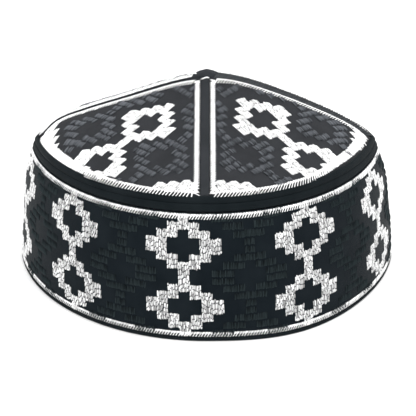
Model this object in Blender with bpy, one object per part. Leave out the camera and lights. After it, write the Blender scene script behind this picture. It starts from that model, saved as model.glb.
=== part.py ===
"""A stiff embroidered kufi: a banded cap with a four-panel crown that rises to a low peak.

Metres, +Z up, front towards -Y. The origin is the centre of the hem, on the surface it rests on.
A place on the rim is given by half (-1 front, +1 back), a sweep angle theta from the centre line
to the side crease, an inset towards the axis and a height.
"""

from collections import namedtuple
from math import acos, cos, hypot, pi, sin, sqrt

import bmesh
import bpy
from mathutils import Vector

MM = 0.001

# Plan of the hem: two ellipse arcs that meet in a shallow crease at the left and right sides.
HALF_WIDTH = 94.2 * MM
HALF_DEPTH = 96.2 * MM
ARC_SET_BACK = 25.0 * MM
STATIONS_PER_HALF = 36

# Heights of the rim's layers, from the hem to the crown's edge.
HEM_HEIGHT = 1.8 * MM
BAND_HEIGHT = 59.2 * MM
BAND_ROLL_TOP = 62.9 * MM
CROWN_EDGE_HEIGHT = 66.1 * MM
CROWN_EDGE_INSET = 11.7 * MM

# Towards the crown the back leans further in and sinks a little, the right side leans in
# where the left side leans out, and the two rolls flatten into the side creases.
BACK_LEAN = 14.0 * MM
BACK_DROP = 5.1 * MM
BACK_DROP_CURVE = 1.5
SIDE_LEAN = 1.1 * MM
CORNER_DROP = 1.2 * MM
CORNER_DROP_CURVE = 8

# The hem swells forward a little at the front right.
HEM_SWELL = 3.6 * MM

BAND_WALL = 2.6 * MM
CROWN_WALL = 1.6 * MM
STRIP_WALL = 1.2 * MM
STRIP_SINK = 0.4 * MM
GAP = 0.3 * MM

# Outer face of the band: how far it has drawn in at each height.
Rib = namedtuple("Rib", "height inset")
BAND_FACE = [
    Rib(2.1 * MM, 0.1 * MM),
    Rib(18.0 * MM, 1.3 * MM),
    Rib(32.0 * MM, 2.6 * MM),
    Rib(44.0 * MM, 4.3 * MM),
    Rib(53.0 * MM, 6.4 * MM),
    Rib(59.2 * MM, 8.5 * MM),
]

# Height of the crown along its four seams, by the share of the way from the peak to the edge.
Ridge = namedtuple("Ridge", "reach left right front back")
RIDGES = [
    Ridge(0.00, 98.3 * MM, 98.3 * MM, 98.3 * MM, 98.3 * MM),
    Ridge(0.25, 93.2 * MM, 94.2 * MM, 91.0 * MM, 89.4 * MM),
    Ridge(0.50, 86.4 * MM, 87.0 * MM, 83.3 * MM, 80.2 * MM),
    Ridge(0.75, 79.6 * MM, 78.0 * MM, 75.0 * MM, 70.7 * MM),
    Ridge(0.90, 74.2 * MM, 71.2 * MM, 69.8 * MM, 64.8 * MM),
    Ridge(1.00, 65.6 * MM, 64.9 * MM, 66.1 * MM, 61.0 * MM),
]

# How fast the crown's level lines turn from a square at the peak to the oval at the edge.
FRONT_ROUNDING = 1.05
BACK_ROUNDING = 2.6
EDGE_BLEND = 6

# The plain strip or seam between two panels: its direction, width and the shift of its centre line.
# The side seams lie a little in front of the crown's crest.
Seam = namedtuple("Seam", "name axis side width shift")
SEAMS = [
    Seam("crown_strip_front", "y", -1, 4.5 * MM, -0.8 * MM),
    Seam("crown_strip_back", "y", 1, 4.5 * MM, -0.8 * MM),
    Seam("crown_strip_right", "x", 1, 3.2 * MM, -1.6 * MM),
    Seam("crown_seam_left", "x", -1, 1.0 * MM, -4.0 * MM),
]
PANEL_SWEEP_STEPS = 14
PANEL_REACH_STEPS = 12
STRIP_STEPS = 14
MERGE_DISTANCE = 0.001 * MM

# The stitched knot on the peak, with a shank through the crown.
KNOT_RADIUS = 4.4 * MM
KNOT_HEIGHT = 1.3 * MM
KNOT_LIFT = 0.6 * MM
SHANK_RADIUS = 1.5 * MM
STRIP_START = 3.5 * MM
KNOT_SIDES = 20

ARC_DEPTH = HALF_DEPTH + ARC_SET_BACK
ARC_WIDTH = HALF_WIDTH / sqrt(1.0 - (ARC_SET_BACK / ARC_DEPTH) ** 2)


def clear_scene():
    for obj in list(bpy.data.objects):
        bpy.data.objects.remove(obj, do_unlink=True)


def crease_angle(inset):
    """The sweep angle at which an arc of this inset meets the side crease."""
    return acos(ARC_SET_BACK / (ARC_DEPTH - inset))


def half_width(inset):
    return (ARC_WIDTH - inset) * sin(crease_angle(inset))


def side_scale(x, share):
    """How much a side has leaned out (left) or in (right) at a share of the cap's height."""
    lean = SIDE_LEAN * share**2 / HALF_WIDTH
    return 1.0 + lean if x < 0.0 else 1.0 - lean


def back_scale(share):
    """How much the back has leaned in at a share of the cap's height."""
    return 1.0 - share * BACK_LEAN / HALF_DEPTH


def rim_drop(behind, across, along, height):
    """How far the rim has sunk, given its shares of the way out to the side and to the back."""
    sink = BACK_DROP * height / CROWN_EDGE_HEIGHT * along**BACK_DROP_CURVE if behind else 0.0
    roll_share = max(height - BAND_HEIGHT, 0.0) / (CROWN_EDGE_HEIGHT - BAND_HEIGHT)
    return sink + CORNER_DROP * roll_share * across**CORNER_DROP_CURVE


def rim_point(half, theta, inset, height):
    """A point on the rim, with the leans and drops of its sides and back worked in."""
    x = (ARC_WIDTH - inset) * sin(theta)
    y = max((ARC_DEPTH - inset) * cos(theta) - ARC_SET_BACK, 0.0)
    share = height / CROWN_EDGE_HEIGHT
    drop = rim_drop(half > 0, abs(x) / half_width(inset), y / (HALF_DEPTH - inset), height)
    if half > 0:
        y *= back_scale(share)
    elif x > 0.0:
        y += HEM_SWELL * (sin(pi * x / half_width(inset)) * (1.0 - share)) ** 2
    return Vector((x * side_scale(x, share), half * y, height - drop))


def edge_width(x):
    """Plan reach of the crown's edge on the side that x is on."""
    return half_width(CROWN_EDGE_INSET) * side_scale(x, 1.0)


def edge_depth(y):
    """Plan reach of the crown's edge at the front or the back, whichever y is on."""
    return (HALF_DEPTH - CROWN_EDGE_INSET) * (back_scale(1.0) if y > 0.0 else 1.0)


def share_of_edge(x, y):
    """How far a plan point lies on the way from the peak to the crown's edge, as a share."""
    x = x / side_scale(x, 1.0)
    y = abs(y) / (back_scale(1.0) if y > 0.0 else 1.0)
    radius = hypot(x, y)
    if radius == 0.0:
        return 0.0
    c, s = x / radius, y / radius
    width, depth = ARC_WIDTH - CROWN_EDGE_INSET, ARC_DEPTH - CROWN_EDGE_INSET
    a = (c / width) ** 2 + (s / depth) ** 2
    b = 2.0 * s * ARC_SET_BACK / depth**2
    k = (ARC_SET_BACK / depth) ** 2 - 1.0
    return radius * 2.0 * a / (-b + sqrt(b * b - 4.0 * a * k))


def along_ridge(column, reach):
    """Smooth height along one column of RIDGES."""
    rows = RIDGES
    i = max(n for n in range(len(rows) - 1) if rows[n].reach <= max(reach, 0.0) or n == 0)
    low, high = rows[i], rows[i + 1]
    span = high.reach - low.reach

    def slope(n):
        before, after = rows[max(n - 1, 0)], rows[min(n + 1, len(rows) - 1)]
        return (getattr(after, column) - getattr(before, column)) / (after.reach - before.reach)

    t = (reach - low.reach) / span
    start, end = getattr(low, column), getattr(high, column)
    return (
        (2 * t**3 - 3 * t**2 + 1) * start
        + (t**3 - 2 * t**2 + t) * span * slope(i)
        + (3 * t**2 - 2 * t**3) * end
        + (t**3 - t**2) * span * slope(i + 1)
    )


def crown_height(x, y):
    """Height of the crown's outer face over a plan point."""
    across, along = abs(x) / edge_width(x), abs(y) / edge_depth(y)
    rounding = BACK_ROUNDING if y > 0.0 else FRONT_ROUNDING
    oval = share_of_edge(x, y)
    blend = min(oval, 1.0) ** rounding
    reach = (across + along) * (1.0 - blend) + oval * blend
    weight = across**2 / max(across**2 + along**2, 1e-12)
    weight = weight * weight * (3.0 - 2.0 * weight)
    side = "left" if x < 0.0 else "right"
    middle = "back" if y > 0.0 else "front"

    def between_ridges(share):
        return along_ridge(side, share) * weight + along_ridge(middle, share) * (1.0 - weight)

    if oval == 0.0:
        return between_ridges(0.0)
    rim = CROWN_EDGE_HEIGHT - rim_drop(y > 0.0, across / oval, along / oval, CROWN_EDGE_HEIGHT)
    return between_ridges(reach) + (rim - between_ridges(1.0)) * oval**EDGE_BLEND


def crown_point(x, y, depth):
    """A point at this depth below the crown's outer face, measured square to the face."""
    step = 0.5 * MM
    fall_x = (crown_height(x + step, y) - crown_height(x - step, y)) / (2.0 * step)
    fall_y = (crown_height(x, y + step) - crown_height(x, y - step)) / (2.0 * step)
    normal = Vector((-fall_x, -fall_y, 1.0)).normalized()
    return Vector((x, y, crown_height(x, y))) - normal * depth


def edge_plan(side, way):
    """Plan point on the crown's edge; way runs from 0 at the front, by 1 at the side, to 2 behind."""
    half = -1 if way <= 1.0 else 1
    theta = side * (way if way <= 1.0 else 2.0 - way) * crease_angle(CROWN_EDGE_INSET)
    point = rim_point(half, theta, CROWN_EDGE_INSET, CROWN_EDGE_HEIGHT)
    return point.x, point.y


def way_where(side, test, low, high):
    """The way along the crown's edge where a plan test changes from false to true."""
    for _ in range(40):
        middle = (low + high) / 2.0
        if test(*edge_plan(side, middle)):
            high = middle
        else:
            low = middle
    return (low + high) / 2.0


def make_material(name, colour, roughness):
    material = bpy.data.materials.new(name)
    material.use_nodes = True
    shader = material.node_tree.nodes["Principled BSDF"]
    shader.inputs["Base Color"].default_value = (*colour, 1.0)
    shader.inputs["Roughness"].default_value = roughness
    shader.inputs["Metallic"].default_value = 0.0
    material.diffuse_color = (*colour, 1.0)
    return material


def finish_object(name, mesh_builder, material):
    """Closes the builder's mesh, turns its faces out and puts it in the scene."""
    bmesh.ops.recalc_face_normals(mesh_builder, faces=mesh_builder.faces)
    mesh = bpy.data.meshes.new(name)
    mesh_builder.to_mesh(mesh)
    mesh_builder.free()
    mesh.shade_smooth()
    mesh.set_sharp_from_angle(angle=pi / 4)
    mesh.materials.append(material)
    obj = bpy.data.objects.new(name, mesh)
    bpy.context.scene.collection.objects.link(obj)
    return obj


def rim_stations():
    """Stations once round the rim, each a half and a share of its sweep to the crease."""
    shares = [2.0 * n / STATIONS_PER_HALF - 1.0 for n in range(STATIONS_PER_HALF)]
    return [(-1, share) for share in shares] + [(1, -share) for share in shares]


def make_ring(name, section, material):
    """Sweeps a closed section of Ribs once round the rim."""
    builder = bmesh.new()
    loops = []
    for half, share in rim_stations():
        loop = [
            builder.verts.new(rim_point(half, share * crease_angle(rib.inset), rib.inset, rib.height))
            for rib in section
        ]
        loops.append(loop)
    for n, loop in enumerate(loops):
        following = loops[(n + 1) % len(loops)]
        for k in range(len(section)):
            after = (k + 1) % len(section)
            builder.faces.new((loop[k], following[k], following[after], loop[after]))
    return finish_object(name, builder, material)


def wall_section(face, thickness):
    """A closed section from the outer face's ribs, with the same ribs set in for the inner face."""
    return face + [Rib(rib.height, rib.inset + thickness) for rib in reversed(face)]


def make_shell(name, plan, depths, material):
    """A wall between two depths below the crown's face, over rows of plan points."""
    builder = bmesh.new()
    outer, inner = (
        [[builder.verts.new(crown_point(x, y, depth)) for x, y in row] for row in plan]
        for depth in depths
    )
    last_row, last_column = len(plan) - 1, len(plan[0]) - 1
    for i in range(last_row):
        for j in range(last_column):
            for sheet in (outer, inner):
                builder.faces.new((sheet[i][j], sheet[i + 1][j], sheet[i + 1][j + 1], sheet[i][j + 1]))
        for j in (0, last_column):
            builder.faces.new((outer[i][j], outer[i + 1][j], inner[i + 1][j], inner[i][j]))
    for j in range(last_column):
        for i in (0, last_row):
            builder.faces.new((outer[i][j], outer[i][j + 1], inner[i][j + 1], inner[i][j]))
    bmesh.ops.remove_doubles(builder, verts=builder.verts, dist=MERGE_DISTANCE)
    return finish_object(name, builder, material)


def make_strip(seam, material):
    """The plain strip along one seam, from just off the peak to the crown's edge."""
    offsets = [seam.shift + seam.width * share for share in (-0.5, 0.0, 0.5)]
    plan = []
    for n in range(STRIP_STEPS + 1):
        row = []
        for offset in offsets:
            if seam.axis == "y":
                side = 1 if offset > 0.0 else -1
                middle = 0.0 if seam.side < 0 else 2.0
                way = way_where(side, lambda x, y, o=offset: abs(x) > abs(o), middle, 1.0)
                end = abs(edge_plan(side, way)[1])
            else:
                way = way_where(seam.side, lambda x, y, o=offset: y > o, 0.0, 2.0)
                end = abs(edge_plan(seam.side, way)[0])
            reach = STRIP_START + (end - STRIP_START) * n / STRIP_STEPS
            row.append((offset, seam.side * reach) if seam.axis == "y" else (seam.side * reach, offset))
        plan.append(row)
    return make_shell(seam.name, plan, (STRIP_SINK, STRIP_SINK + STRIP_WALL), material)


def seam_at(axis, side):
    return next(seam for seam in SEAMS if seam.axis == axis and seam.side == side)


def make_panel(name, half, side, material):
    """One of the four crown panels, a fan from its tip at the peak to the crown's edge.

    A panel that reaches over the crest has columns along its seam up to the crest, and fans out
    from there.
    """
    middle, flank = seam_at("y", half), seam_at("x", side)
    tip_x = middle.shift + side * (middle.width / 2.0 + GAP)
    tip_y = flank.shift + half * (flank.width / 2.0 + GAP)
    columns = []
    fan_y, fan_way = tip_y, way_where(side, lambda x, y: y > tip_y, 0.0, 2.0)
    if half > 0 > tip_y:
        for share in (0.0, 0.5):
            level = tip_y * (1.0 - share)
            way = way_where(side, lambda x, y, z=level: y > z, 0.0, 2.0)
            columns.append(((tip_x, level), edge_plan(side, way)))
        fan_y, fan_way = 0.0, 1.0
    end_way = 0.0 if half < 0 else 2.0
    last = way_where(side, lambda x, y: side * (x - tip_x) > 0.0, end_way, 1.0)
    for n in range(PANEL_SWEEP_STEPS + 1):
        way = fan_way + (last - fan_way) * n / PANEL_SWEEP_STEPS
        columns.append(((tip_x, fan_y), edge_plan(side, way)))
    plan = []
    for n in range(PANEL_REACH_STEPS + 1):
        share = n / PANEL_REACH_STEPS
        plan.append([(a + (c - a) * share, b + (d - b) * share) for (a, b), (c, d) in columns])
    return make_shell(name, plan, (0.0, CROWN_WALL), material)


def make_knot(material):
    """A low round knot that follows the slope of the peak, with its shank through the crown."""
    Circle = namedtuple("Circle", "radius lift follows_crown")
    circles = [
        Circle(SHANK_RADIUS, -CROWN_WALL - STRIP_SINK - GAP, False),
        Circle(SHANK_RADIUS, KNOT_LIFT, True),
        Circle(KNOT_RADIUS, KNOT_LIFT, True),
        Circle(KNOT_RADIUS, KNOT_LIFT + 0.3 * KNOT_HEIGHT, True),
        Circle(0.8 * KNOT_RADIUS, 0.7 * KNOT_HEIGHT, False),
        Circle(0.45 * KNOT_RADIUS, KNOT_HEIGHT, False),
    ]
    peak = crown_height(0.0, 0.0)
    builder = bmesh.new()
    loops = []
    for circle in circles:
        loop = []
        for n in range(KNOT_SIDES):
            angle = 2.0 * pi * n / KNOT_SIDES
            x, y = circle.radius * cos(angle), circle.radius * sin(angle)
            ground = crown_height(x, y) if circle.follows_crown else peak
            loop.append(builder.verts.new((x, y, ground + circle.lift)))
        loops.append(loop)
    for low, high in zip(loops, loops[1:]):
        for n in range(KNOT_SIDES):
            after = (n + 1) % KNOT_SIDES
            builder.faces.new((low[n], low[after], high[after], high[n]))
    builder.faces.new(loops[0])
    builder.faces.new(loops[-1])
    return finish_object("peak_knot", builder, material)


def make_hem(material):
    """The flat bound hem that the cap stands on."""
    edge = 0.5 * MM
    section = [
        Rib(0.0, edge),
        Rib(edge, -0.1 * MM),
        Rib(HEM_HEIGHT, -0.1 * MM),
        Rib(HEM_HEIGHT, BAND_WALL + 0.2 * MM),
        Rib(edge, BAND_WALL + 0.2 * MM),
        Rib(0.0, BAND_WALL - edge),
    ]
    return make_ring("hem_binding", section, material)


def make_band_roll(material):
    """The rolled top edge of the band."""
    base = BAND_HEIGHT + GAP
    rise = BAND_ROLL_TOP - base
    inner = CROWN_EDGE_INSET - GAP
    section = [
        Rib(base, 9.2 * MM),
        Rib(base + 0.25 * rise, 8.8 * MM),
        Rib(base + 0.6 * rise, 8.9 * MM),
        Rib(base + 0.88 * rise, 9.5 * MM),
        Rib(BAND_ROLL_TOP, 10.3 * MM),
        Rib(BAND_ROLL_TOP, inner),
        Rib(base, inner),
    ]
    return make_ring("band_top_roll", section, material)


def make_edge_roll(material):
    """The roll round the crown's edge, between the band's roll and the panels."""
    base = BAND_ROLL_TOP + GAP
    rise = CROWN_EDGE_HEIGHT - base
    inner = CROWN_EDGE_INSET - GAP
    section = [
        Rib(base, 10.3 * MM),
        Rib(base + 0.35 * rise, 9.8 * MM),
        Rib(base + 0.75 * rise, 10.0 * MM),
        Rib(CROWN_EDGE_HEIGHT, 10.6 * MM),
        Rib(CROWN_EDGE_HEIGHT, inner),
        Rib(base, inner),
    ]
    return make_ring("crown_edge_roll", section, material)


def main():
    clear_scene()
    black_cloth = make_material("black cloth", (0.018, 0.022, 0.024), 0.85)
    grey_cloth = make_material("charcoal cloth", (0.055, 0.057, 0.064), 0.85)
    black_binding = make_material("black binding", (0.012, 0.015, 0.017), 0.7)
    make_ring("band", wall_section(BAND_FACE, BAND_WALL), black_cloth)
    make_hem(black_binding)
    make_band_roll(black_binding)
    make_edge_roll(black_binding)
    for half, depth_name in ((-1, "front"), (1, "back")):
        for side, side_name in ((-1, "left"), (1, "right")):
            make_panel(f"crown_panel_{depth_name}_{side_name}", half, side, grey_cloth)
    for seam in SEAMS:
        make_strip(seam, grey_cloth)
    make_knot(grey_cloth)


main()
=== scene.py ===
from collections import namedtuple
from contextlib import contextmanager
from math import cos, pi, radians, sin, sqrt

import bpy
import numpy as np
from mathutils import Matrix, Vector


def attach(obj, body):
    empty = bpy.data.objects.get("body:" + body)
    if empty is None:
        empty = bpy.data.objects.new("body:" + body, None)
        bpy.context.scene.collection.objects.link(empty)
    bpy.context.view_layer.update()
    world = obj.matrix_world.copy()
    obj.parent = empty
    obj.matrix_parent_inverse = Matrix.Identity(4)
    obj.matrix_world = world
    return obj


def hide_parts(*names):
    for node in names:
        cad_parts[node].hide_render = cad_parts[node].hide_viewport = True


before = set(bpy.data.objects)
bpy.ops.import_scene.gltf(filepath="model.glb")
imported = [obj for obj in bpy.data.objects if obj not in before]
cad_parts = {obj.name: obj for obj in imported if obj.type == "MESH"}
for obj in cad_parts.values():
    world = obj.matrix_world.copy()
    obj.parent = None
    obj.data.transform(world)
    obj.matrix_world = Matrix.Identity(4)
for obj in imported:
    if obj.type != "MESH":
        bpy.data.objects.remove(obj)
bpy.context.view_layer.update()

MM = 0.001

# Plan of the hem: two ellipse arcs that meet in a shallow crease at the left and right sides.
HALF_WIDTH = 94.2 * MM
HALF_DEPTH = 96.2 * MM
ARC_SET_BACK = 25.0 * MM
ARC_DEPTH = HALF_DEPTH + ARC_SET_BACK
ARC_WIDTH = HALF_WIDTH / sqrt(1.0 - (ARC_SET_BACK / ARC_DEPTH) ** 2)

# Layers of the rim.
HEM_HEIGHT = 1.8 * MM
BAND_HEIGHT = 59.2 * MM
CROWN_EDGE_HEIGHT = 66.1 * MM
CROWN_EDGE_INSET = 11.7 * MM
BAND_WALL = 2.6 * MM
CROWN_WALL = 1.6 * MM
GAP = 0.3 * MM

# Leans and drops towards the crown.
BACK_LEAN = 14.0 * MM
BACK_DROP = 5.1 * MM
BACK_DROP_CURVE = 1.5
SIDE_LEAN = 1.1 * MM
CORNER_DROP = 1.2 * MM
CORNER_DROP_CURVE = 8
HEM_SWELL = 3.6 * MM

# How late the crown's level lines turn from straight to oval on the way to the edge, in front and
# behind, and how late its face bends down to meet the edge.
FRONT_ROUNDING = 1.05
BACK_ROUNDING = 2.6
EDGE_BLEND = 6

# Outer face of the band: how far it has drawn in at each height, both in millimetres.
Rib = namedtuple("Rib", "height inset")
BAND_FACE = [Rib(2.1, 0.1), Rib(18.0, 1.3), Rib(32.0, 2.6), Rib(44.0, 4.3), Rib(53.0, 6.4), Rib(59.2, 8.5)]
BAND_FOOT = BAND_FACE[0].height * MM

# Height of the crown in millimetres along its seams, by the share of the way to its edge.
Ridge = namedtuple("Ridge", "reach left right front back")
RIDGES = [
    Ridge(0.00, 98.3, 98.3, 98.3, 98.3),
    Ridge(0.25, 93.2, 94.2, 91.0, 89.4),
    Ridge(0.50, 86.4, 87.0, 83.3, 80.2),
    Ridge(0.75, 79.6, 78.0, 75.0, 70.7),
    Ridge(0.90, 74.2, 71.2, 69.8, 64.8),
    Ridge(1.00, 65.6, 64.9, 66.1, 61.0),
]

# Plain strips between the panels: direction, width and the shift of the centre line.
Seam = namedtuple("Seam", "name axis side width shift")
SEAMS = [
    Seam("crown_strip_front", "y", -1, 4.5 * MM, -0.8 * MM),
    Seam("crown_strip_back", "y", 1, 4.5 * MM, -0.8 * MM),
    Seam("crown_strip_right", "x", 1, 3.2 * MM, -1.6 * MM),
    Seam("crown_seam_left", "x", -1, 1.0 * MM, -4.0 * MM),
]

# Charted embroidery. A chain of stepped rings repeats every 12 columns and 8 rows, and the black
# chains stand half a repeat off the white ones. Each run is in rows from the ring's centre.
Run = namedtuple("Run", "column low high")
RING = [Run(0, 2, 3), Run(1, 1, 3), Run(2, -2, 2), Run(3, -1, 1)]
CHAIN_COLUMNS = 12
CHAIN_ROWS = 8

# How one hand-worked chain has drifted: its shift in columns and in rows, how much it has widened,
# and how many columns it leans in each row.
Drift = namedtuple("Drift", "columns rows widen lean", defaults=[0.0] * 4)
STILL = Drift()

# The band's chart: columns round the rim, the height of a row and of the chart's middle, the column at
# the front, and how much wider the columns are at the back.
BAND_COLUMNS = 108
BAND_ROW = 3.53 * MM
BAND_CHART_MIDDLE = 30.5 * MM
BAND_CHART_START = 2.04
BAND_CHART_SWELL = 0.046

# The crown's charts: size of a cell, rows from the peak to row 0, the rows that the chains of the
# middle column and the others start and end on, and the ring at the peak with the rows it fills.
PANEL_COLUMN = 4.41 * MM
PANEL_ROW = 4.19 * MM
PANEL_PEAK_ROWS = 9.81
MIDDLE_CHAIN_START = -4
CHAIN_START = -9
CHAIN_END = 14
PEAK_RING_ROW = -8
PEAK_RING_ROWS = (-10, -5)

# The grid that a panel's chart is measured on, in columns and rows, and how far it reaches in plan.
GRID_STEP = 0.25
GRID_ROWS = 16.0
GRID_COLUMNS = 20.0
REACH_AHEAD = 115.0 * MM
REACH_ASIDE = 95.0 * MM

# How a patch is filled: threads side by side in one cell, their length and play in rows, their rise,
# how full the cell looks, how rounded its corners are, how far the threads pass the cell's ends and
# how far they stay apart in rows, and whether their ends line up.
Sewing = namedtuple("Sewing", "threads length play rise fill rounded past gap aligned")
WHITE_ON_BAND = Sewing(8, 0.7, 0.05, 0.36 * MM, 0.86, 0.1, 0.0, 0.0, False)
BLACK_ON_BAND = Sewing(7, 1.0, 0.04, 0.42 * MM, 1.0, 0.0, 0.05, 0.04, True)
WHITE_ON_CROWN = Sewing(9, 0.9, 0.04, 0.4 * MM, 1.08, 0.3, 0.05, -0.03, False)
BLACK_ON_CROWN = Sewing(7, 1.0, 0.06, 0.6 * MM, 0.84, 0.0, 0.01, 0.04, True)

# How far inside a panel's edges the threads of each colour stay, and how far over the hem the band's
# stitches and its borders stay.
WHITE_MARGIN = 1.8 * MM
BLACK_MARGIN = 2.9 * MM
STITCH_CLEARANCE = 0.4 * MM
BORDER_CLEARANCE = 0.1 * MM

# How unevenly threads are laid: their play and lean in columns, the shares of a full length that they
# have at the start of a run and after it, and the share that is too short to be left over.
THREAD_PLAY = 0.012
THREAD_LEAN = 0.03
FIRST_LENGTHS = (0.4, 1.1)
LATER_LENGTHS = (0.7, 1.3)
SHORT_LENGTH = 0.4

# Rounded corners: how many columns left of the middle the low one starts, and the high one's share.
LOW_CORNER = 0.1
HIGH_CORNER = 0.5

# Sections of a thread: where each lies along it, and its shares of the thread's rise and width.
# Stitches and satin are alike at both ends, so their tables stop in the middle.
Section = namedtuple("Section", "at rise width", defaults=[1.0])
STITCH = [Section(0.0, -0.3, 0.4), Section(0.14, 0.72, 0.92), Section(0.5, 1.0)]
SATIN = [Section(0.0, -0.2), Section(0.15, 0.72), Section(0.35, 0.95), Section(0.5, 1.0)]
LOOSE_STITCH = [
    Section(0.0, 0.2, 1.0),
    Section(0.25, 0.9, 1.1),
    Section(0.5, 1.0, 0.9),
    Section(0.75, 0.9, 0.7),
    Section(1.0, 0.1, 0.4),
]

# Shares of a thread's rise that its sides have, how far its sides sink and how deep its base lies.
STITCH_SIDE = 0.35
SATIN_SIDE = 0.3
LOOSE_SIDE = 0.4
STITCH_SINK = 0.04 * MM
STITCH_BURY = 0.22 * MM
LOOSE_BURY = 0.3 * MM

# What threads vary by: the least share, and how far above it they go.
STITCH_RISES = (0.8, 0.4)
STITCH_WIDTHS = (0.9, 0.25)
SATIN_RISES = (0.85, 0.3)
SATIN_TONES = (0.35, 0.65)

# Slanted satin borders: width, pitch and rise of their threads, and how far they thin out into teeth.
Border = namedtuple("Border", "width pitch rise teeth")
BAND_BORDER = Border(2.5 * MM, 1.3 * MM, 0.4 * MM, 0.68)
RIM_BORDER = Border(4.4 * MM, 1.55 * MM, 0.42 * MM, 0.72)
SIDE_BORDER = Border(2.8 * MM, 1.6 * MM, 0.42 * MM, 0.65)
RIDGE_BORDER = Border(3.1 * MM, 1.35 * MM, 0.4 * MM, 0.68)
STRIP_BORDER = Border(5.6 * MM, 1.2 * MM, 0.95 * MM, 0.45)
BAND_BORDER_HEIGHTS = {"band_top_border": 57.5 * MM, "band_bottom_border": 3.4 * MM}

# How far the borders pass the edges of the panels, and how they lift where they pass the rim.
BORDER_OVERHANG = 0.2 * MM
RIM_OVERHANG = 1.2 * MM
RIM_LIFT = 0.5

# How much wider than the pitch a satin thread is, where along it the teeth start and how soon they
# are full, and how uneven its length, its place across and its place along the border are.
SATIN_OVERLAP = 1.12
TEETH_START = 0.3
TEETH_SPREAD = 0.2
SATIN_LENGTH_PLAY = 0.03
SATIN_ACROSS_PLAY = 0.01
SATIN_AHEAD_PLAY = 0.03

# How threads lean. Along the rim they stay parallel, and lean at most so far; where the rim turns away
# to the flank they come back to the common lean, over a few threads.
BORDER_LEAN = 0.62
FRONT_RIM_LEAN = 0.47
MOST_LEAN = 1.1
FLANK_FACING = 0.55
FACING_SPREAD = 0.2
LEAN_WINDOW = 4
DRAW_WINDOW = 3

# Where the threads lean away from the corner of the middle strip and the rim, those next to it fan
# out into it: over how many threads, and how far.
FAN_THREADS = 1.6
RIM_FAN = 1.4
SIDE_FAN = 2.0

# The outline of a panel's border: its step, how tightly its corners turn, and how far the wider turn
# of the flank corner reaches.
OUTLINE_STEP = 0.2 * MM
TIGHT_TURN = 1.2 * MM
FLANK_REACH = 11.0 * MM

# The plain strips: where they start from the peak, how far short of the crown's edge they end, their
# length and wall, how deep their edges lie and how much their middle domes.
STRIP_START = 3.5 * MM
STRIP_END = 0.15 * MM
STRIP_LENGTH = 80.0 * MM
STRIP_WALL = 1.1 * MM
STRIP_SINK = 0.45 * MM
STRIP_DOME = 0.35 * MM

rng = np.random.default_rng(57)


def smooth_curve(xs, ys, at):
    """Smooth values through a short table, at an array of positions."""
    xs, ys = np.asarray(xs, float), np.asarray(ys, float)
    slope = np.empty_like(ys)
    slope[1:-1] = (ys[2:] - ys[:-2]) / (xs[2:] - xs[:-2])
    slope[0] = (ys[1] - ys[0]) / (xs[1] - xs[0])
    slope[-1] = (ys[-1] - ys[-2]) / (xs[-1] - xs[-2])
    i = np.clip(np.searchsorted(xs, at, side="right") - 1, 0, len(xs) - 2)
    span = xs[i + 1] - xs[i]
    t = (at - xs[i]) / span
    return (
        (2 * t**3 - 3 * t**2 + 1) * ys[i]
        + (t**3 - 2 * t**2 + t) * span * slope[i]
        + (3 * t**2 - 2 * t**3) * ys[i + 1]
        + (t**3 - t**2) * span * slope[i + 1]
    )


def band_inset(height):
    heights = [rib.height * MM for rib in BAND_FACE]
    return smooth_curve(heights, [rib.inset * MM for rib in BAND_FACE], height)


def crease_angle(inset):
    return np.arccos(ARC_SET_BACK / (ARC_DEPTH - inset))


def half_width(inset):
    return (ARC_WIDTH - inset) * np.sin(crease_angle(inset))


def side_scale(x, share):
    lean = SIDE_LEAN * share**2 / HALF_WIDTH
    return np.where(x < 0.0, 1.0 + lean, 1.0 - lean)


def back_scale(share):
    return 1.0 - share * BACK_LEAN / HALF_DEPTH


def rim_drop(behind, across, along, height):
    sink = np.where(behind, BACK_DROP * height / CROWN_EDGE_HEIGHT * along**BACK_DROP_CURVE, 0.0)
    roll_share = np.maximum(height - BAND_HEIGHT, 0.0) / (CROWN_EDGE_HEIGHT - BAND_HEIGHT)
    return sink + CORNER_DROP * roll_share * across**CORNER_DROP_CURVE


def quarter_table():
    """Share of the arc's length against share of its sweep, over a quarter of the hem."""
    sweep = np.linspace(0.0, 1.0, 400)
    theta = sweep * crease_angle(0.0)
    steps = np.hypot(np.diff(ARC_WIDTH * np.sin(theta)), np.diff(ARC_DEPTH * np.cos(theta)))
    length = np.concatenate(([0.0], np.cumsum(steps)))
    return length / length[-1], sweep, 4.0 * length[-1]


QUARTER_LENGTH, QUARTER_SWEEP, HEM_ROUND = quarter_table()


def rim_place(turn, inset, height):
    """Points on the rim. turn runs from -0.5 at the back, by 0 at the front, to 0.5 at the back."""
    turn, inset, height = np.broadcast_arrays(*(np.asarray(a, float) for a in (turn, inset, height)))
    behind = np.abs(turn) > 0.25
    quarter = np.where(behind, 0.5 - np.abs(turn), np.abs(turn)) * 4.0
    sweep = np.interp(quarter, QUARTER_LENGTH, QUARTER_SWEEP)
    theta = sweep * crease_angle(inset)
    x = np.sign(turn) * (ARC_WIDTH - inset) * np.sin(theta)
    y = np.maximum((ARC_DEPTH - inset) * np.cos(theta) - ARC_SET_BACK, 0.0)
    share = height / CROWN_EDGE_HEIGHT
    drop = rim_drop(behind, np.abs(x) / half_width(inset), y / (HALF_DEPTH - inset), height)
    swell = np.maximum(np.sin(pi * x / half_width(inset)), 0.0) * (1.0 - share)
    y = np.where(behind, y * back_scale(share), -y - HEM_SWELL * swell**2)
    return np.stack([x * side_scale(x, share), y, height - drop], axis=-1)


def band_skin(turn, height, out=0.0):
    """Points on the band's outer face, or standing out from it."""
    return rim_place(turn, band_inset(np.asarray(height, float)) - out, height)


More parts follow.
